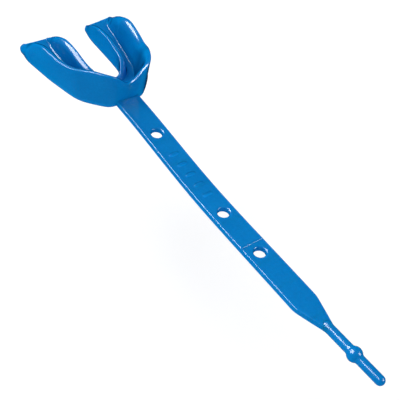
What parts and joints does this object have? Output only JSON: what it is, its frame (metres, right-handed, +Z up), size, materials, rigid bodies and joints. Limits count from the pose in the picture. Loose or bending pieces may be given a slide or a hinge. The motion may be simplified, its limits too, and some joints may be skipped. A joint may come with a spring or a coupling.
{
  "type": "strap mouthguard",
  "caption": "Soft strap-type mouthguard: a U-shaped bite tray with raised lip, cheek and tongue walls, and a flat holed tether strap ending in a ball stop and round pull tip.",
  "frame": {"origin": "middle of the front bite floor on the midline, on the tray's underside, 10 mm behind the strap root", "axes": "+X to the right seen from the strap's end, +Y from the strap towards the back of the mouth, +Z up out of the bite channel"},
  "size_m": [0.0568, 0.2504, 0.0272],
  "materials": {
    "eva": "glossy soft ethylene-vinyl acetate"
  },
  "bodies": {
    "tray_front": {"front_bite_floor": "eva", "labial_wall": "eva", "front_lingual_wall": "eva", "strap_root": "eva"},
    "left_arm": {"left_bite_floor": "eva", "left_buccal_wall": "eva", "left_lingual_wall": "eva"},
    "right_arm": {"right_bite_floor": "eva", "right_buccal_wall": "eva", "right_lingual_wall": "eva"},
    "strap_1": {"first_hole_link": "eva"},
    "strap_2": {"marking_link": "eva"},
    "strap_3": {"plain_link": "eva"},
    "strap_4": {"second_hole_link": "eva"},
    "strap_5": {"third_hole_link": "eva"},
    "strap_6": {"end_link": "eva"},
    "strap_7": {"taper_link": "eva"},
    "strap_tip": {"tip_shank": "eva", "stop_ball": "eva", "pull_tip": "eva"}
  },
  "joints": [
    {"name": "left_arm_splay", "type": "hinge", "parent": "tray_front", "child": "left_arm", "pos_m": [-0.01562, 0.01299, 0.0035], "axis": [0, 0, 1], "range_deg": [-6, 6], "stiffness_Nm_per_rad": 1},
    {"name": "right_arm_splay", "type": "hinge", "parent": "tray_front", "child": "right_arm", "pos_m": [0.01562, 0.01299, 0.0035], "axis": [0, 0, -1], "range_deg": [-6, 6], "stiffness_Nm_per_rad": 1},
    {"name": "root_flex", "type": "hinge", "parent": "tray_front", "child": "strap_1", "pos_m": [0, -0.0235, 0.0019], "axis": [1, 0, 0], "range_deg": [-30, 30], "stiffness_Nm_per_rad": 0.024},
    {"name": "hole_flex", "type": "hinge", "parent": "strap_1", "child": "strap_2", "pos_m": [0, -0.048, -0.0001], "axis": [1, 0, 0], "range_deg": [-30, 30], "stiffness_Nm_per_rad": 0.024},
    {"name": "marking_flex", "type": "hinge", "parent": "strap_2", "child": "strap_3", "pos_m": [0, -0.0645, -0.0014], "axis": [1, 0, 0], "range_deg": [-30, 30], "stiffness_Nm_per_rad": 0.024},
    {"name": "middle_flex", "type": "hinge", "parent": "strap_3", "child": "strap_4", "pos_m": [0, -0.081, -0.0021], "axis": [1, 0, 0], "range_deg": [-30, 30], "stiffness_Nm_per_rad": 0.024},
    {"name": "second_hole_flex", "type": "hinge", "parent": "strap_4", "child": "strap_5", "pos_m": [0, -0.1026, -0.00205], "axis": [1, 0, 0], "range_deg": [-30, 30], "stiffness_Nm_per_rad": 0.024},
    {"name": "third_hole_flex", "type": "hinge", "parent": "strap_5", "child": "strap_6", "pos_m": [0, -0.131, -0.0014], "axis": [1, 0, 0], "range_deg": [-30, 30], "stiffness_Nm_per_rad": 0.024},
    {"name": "taper_flex", "type": "hinge", "parent": "strap_6", "child": "strap_7", "pos_m": [0, -0.1485, -0.00105], "axis": [1, 0, 0], "range_deg": [-30, 30], "stiffness_Nm_per_rad": 0.02},
    {"name": "shank_flex", "type": "hinge", "parent": "strap_7", "child": "strap_tip", "pos_m": [0.00075, -0.16748, -0.00105], "axis": [0.999, 0.0454, 0], "range_deg": [-30, 30], "stiffness_Nm_per_rad": 0.012}
  ]
}
